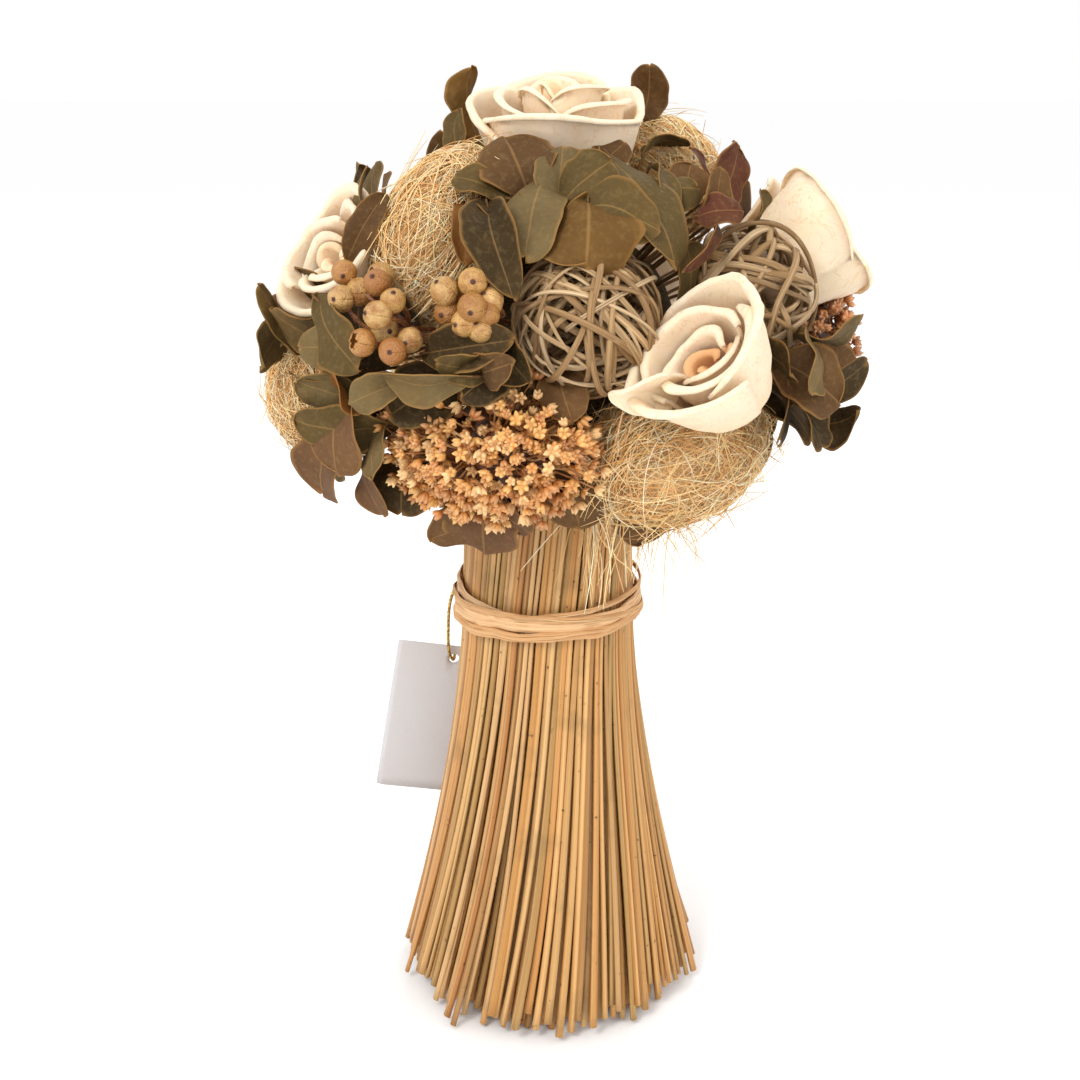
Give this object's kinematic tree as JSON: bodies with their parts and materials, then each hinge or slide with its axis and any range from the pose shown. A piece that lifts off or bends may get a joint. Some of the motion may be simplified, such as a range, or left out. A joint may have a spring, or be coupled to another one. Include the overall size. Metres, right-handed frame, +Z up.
{
  "type": "standing dried straw sheaf with a dried flower head",
  "caption": "Tied sheaf of golden straw that stands on its cut ends, topped with a domed head of cream dried roses, brown leaves, fibre and cane balls, berries and seed heads.",
  "frame": {"origin": "middle of the foot that the sheaf stands on, on the axis of the straws", "axes": "+Z up along the straws, -Y the front of the flower head, +X to the right seen from the front"},
  "size_m": [0.1949, 0.1879, 0.3251],
  "materials": {
    "straw": "matt, with fine lengthwise grain",
    "raffia": "matt, wrinkled along its length",
    "tag_paper": "smooth, uncoated, blank",
    "gold_thread": "metallic twist",
    "rose_petal": "matt, thick and softly creased",
    "sisal": "loose, fine, dry fibres",
    "rattan": "matt, weathered grey-tan",
    "berry": "dimpled, with a low sheen",
    "seed_head": "dry, papery bracts round hard seeds",
    "dried_leaf": "matt, leathery, mottled",
    "foam": "dry, porous"
  },
  "bodies": {
    "root": {"straw_core": "straw", "straw_bundle_1": "straw", "straw_bundle_2": "straw", "straw_bundle_3": "straw", "straw_bundle_4": "straw", "straw_bundle_5": "straw", "straw_bundle_6": "straw", "straw_bundle_7": "straw", "straw_bundle_8": "straw", "raffia_wrap_upper": "raffia", "raffia_wrap_lower": "raffia", "raffia_knot": "raffia", "paper_tag": "tag_paper", "tag_thread": "gold_thread", "rose_top_heart": "rose_petal", "rose_top_inner_petals": "rose_petal", "rose_top_outer_petals": "rose_petal", "rose_front_heart": "rose_petal", "rose_front_inner_petals": "rose_petal", "rose_front_outer_petals": "rose_petal", "rose_right_heart": "rose_petal", "rose_right_inner_petals": "rose_petal", "rose_right_outer_petals": "rose_petal", "rose_left_heart": "rose_petal", "rose_left_inner_petals": "rose_petal", "rose_left_outer_petals": "rose_petal", "rose_back_heart": "rose_petal", "rose_back_inner_petals": "rose_petal", "rose_back_outer_petals": "rose_petal", "rattan_ball_front": "rattan", "rattan_ball_right": "rattan", "rattan_ball_back": "rattan", "sisal_ball_front": "sisal", "sisal_ball_upper_left": "sisal", "sisal_ball_left": "sisal", "sisal_ball_top_right": "sisal", "sisal_ball_back_left": "sisal", "sisal_ball_back_right": "sisal", "berry_cluster_left": "berry", "berry_cluster_middle": "berry", "berry_cluster_back": "berry", "seed_head_front": "seed_head", "seed_head_right": "seed_head", "seed_head_back": "seed_head", "leaves_crown_front": "dried_leaf", "leaves_crown_right": "dried_leaf", "leaves_top_back": "dried_leaf", "leaves_upper_left": "dried_leaf", "leaves_beside_left_rose": "dried_leaf", "leaves_left": "dried_leaf", "leaves_low_left": "dried_leaf", "leaves_middle": "dried_leaf", "leaves_right": "dried_leaf", "leaves_under": "dried_leaf", "leaves_back_left": "dried_leaf", "leaves_back_right": "dried_leaf", "leaves_back_low": "dried_leaf", "foam_ball": "foam"}
  },
  "joints": []
}
